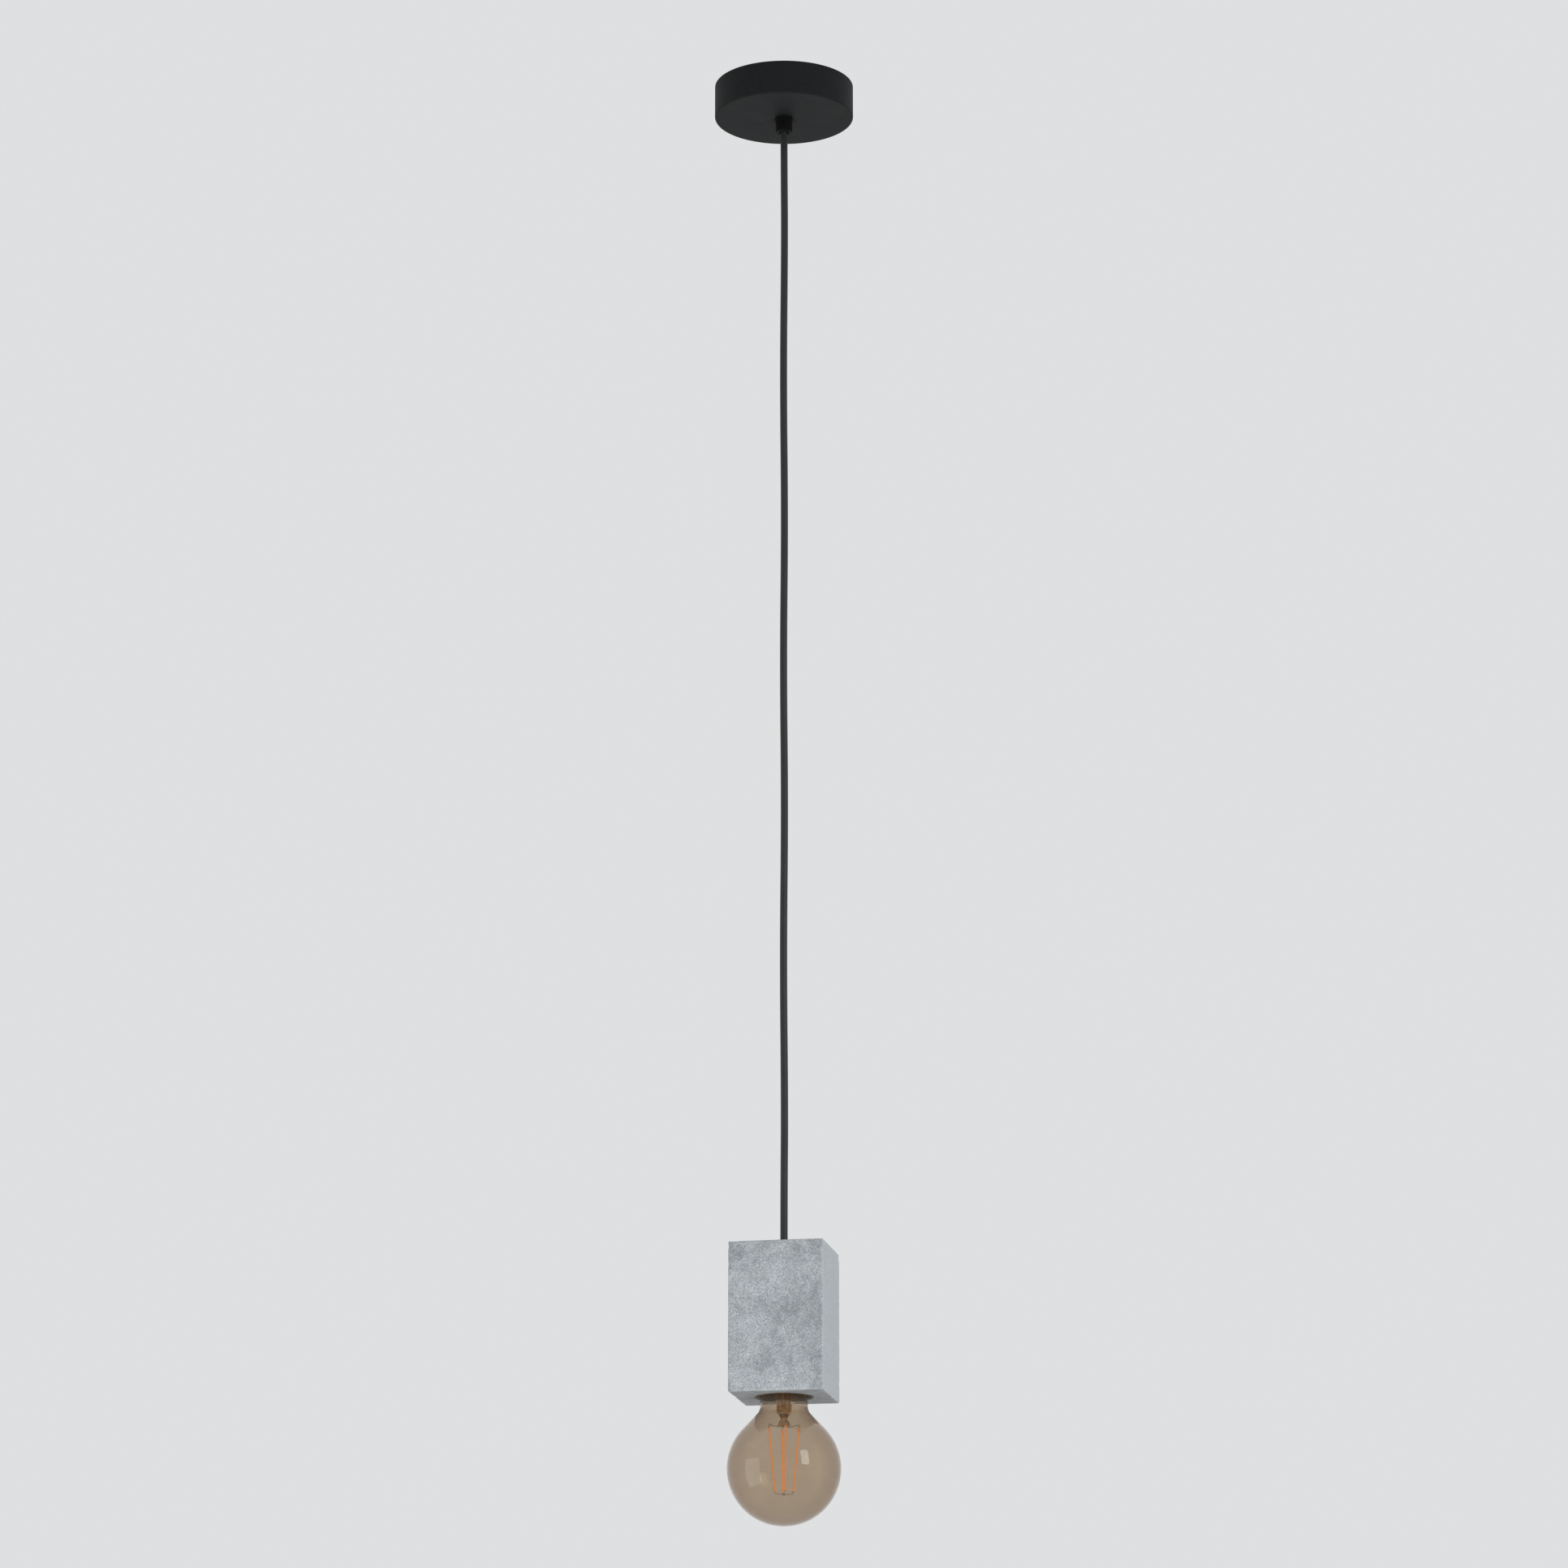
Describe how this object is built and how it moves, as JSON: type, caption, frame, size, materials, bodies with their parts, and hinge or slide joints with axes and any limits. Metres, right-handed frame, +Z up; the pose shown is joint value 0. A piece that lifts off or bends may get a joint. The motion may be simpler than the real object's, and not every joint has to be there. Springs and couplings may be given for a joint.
{
  "type": "pendant ceiling light",
  "caption": "Pendant light: round canopy, one straight round cable, a square cast concrete block bored from below, and an amber globe bulb in a screw lampholder.",
  "frame": {"origin": "On the ceiling plane, on the axis that the lamp hangs in, midway between the two screw slots of the ceiling bracket.", "axes": "+Z points up to the ceiling and the lamp hangs along -Z. X runs along the bracket from slot to slot. The block's sides are square to X and Y, and the grip's set screw faces -Y."},
  "size_m": [0.103, 0.103, 1.0742],
  "materials": {
    "black_paint": "matt powder coat",
    "zinc_steel": "bright zinc plate",
    "terminal_plastic": "moulded",
    "brass": "pressed, plain",
    "tinned_lug": "tin plate",
    "live_insulation": "extruded",
    "neutral_insulation": "extruded",
    "earth_insulation": "extruded, green and yellow",
    "copper": "stranded",
    "cable_sheath": "satin extrusion",
    "concrete": "cast, fine pores",
    "black_nylon": "moulded",
    "black_phenolic": "moulded",
    "porcelain": "unglazed",
    "amber_glass": "clear, amber tinted",
    "cap_metal": "rolled",
    "cement": "baked",
    "black_glass": "fused",
    "clear_glass": "clear",
    "filament_phosphor": "silicone and phosphor coat",
    "filament_metal": "nickel wire",
    "circuit_board": "lacquered",
    "component_plastic": "moulded"
  },
  "bodies": {
    "canopy": {"canopy_cup": "black_paint", "ceiling_bracket": "zinc_steel", "canopy_threaded_tube": "zinc_steel", "bracket_nuts": "zinc_steel", "bracket_lock_washer": "zinc_steel", "cord_grip": "black_paint", "grip_set_screw": "black_paint", "terminal_block": "terminal_plastic", "terminal_barrels": "brass", "terminal_screws": "zinc_steel", "terminal_block_screw": "zinc_steel", "earth_screw": "zinc_steel", "earth_washer": "zinc_steel", "earth_lug": "tinned_lug", "live_wire": "live_insulation", "neutral_wire": "neutral_insulation", "earth_wire": "earth_insulation", "bare_wire_ends": "copper", "cable_stub": "cable_sheath"},
    "cable_bend": {"cable_bend": "cable_sheath"},
    "cable": {"hanging_cable": "cable_sheath"},
    "head": {"concrete_block": "concrete", "block_washer": "zinc_steel", "block_nut": "zinc_steel", "holder_tube": "zinc_steel", "tube_bushing": "black_nylon", "cable_end": "cable_sheath", "holder_cap": "black_phenolic", "holder_shell": "black_phenolic", "holder_insert": "porcelain", "holder_terminal_plates": "brass", "holder_terminal_screws": "zinc_steel", "holder_sleeve": "brass", "centre_contact": "brass", "holder_live_wire": "live_insulation", "holder_neutral_wire": "neutral_insulation", "holder_wire_ends": "copper"},
    "bulb_tip": {"bulb_tip": "cap_metal"},
    "bulb": {"bulb_cap": "cap_metal", "bulb_glass": "amber_glass", "bulb_cap_cement": "cement", "cap_insulator": "black_glass", "glass_stem": "clear_glass", "exhaust_tube": "clear_glass", "led_filament_1": "filament_phosphor", "led_filament_2": "filament_phosphor", "led_filament_3": "filament_phosphor", "led_filament_4": "filament_phosphor", "filament_ferrules": "filament_metal", "filament_hangers": "filament_metal", "filament_bridge": "filament_metal", "driver_board": "circuit_board", "driver_components": "component_plastic", "bulb_leads": "filament_metal"}
  },
  "joints": [
    {"name": "swing_fore_aft", "type": "hinge", "parent": "canopy", "child": "cable_bend", "pos_m": [0, 0, -0.0365], "axis": [1, 0, 0], "range_deg": [-25, 25]},
    {"name": "swing_sideways", "type": "hinge", "parent": "cable_bend", "child": "cable", "pos_m": [0, 0, -0.0365], "axis": [0, 1, 0], "range_deg": [-25, 25]},
    {"name": "block_twist", "type": "hinge", "parent": "cable", "child": "head", "pos_m": [0, 0, -0.8729], "axis": [0, 0, 1], "range_deg": [-180, 180], "stiffness_Nm_per_rad": 0.004},
    {"name": "bulb_travel", "type": "slide", "parent": "head", "child": "bulb_tip", "axis": [0, 0, -1], "range_m": [0, 0.0128]},
    {"name": "bulb_unscrew", "type": "hinge", "parent": "bulb_tip", "child": "bulb", "pos_m": [0, 0, -0.96], "axis": [0, 0, -1], "range_deg": [0, 1260]}
  ],
  "couplings": [
    {"joint": "bulb_travel", "follows": "bulb_unscrew", "m_per_rad": 0.00057757}
  ]
}
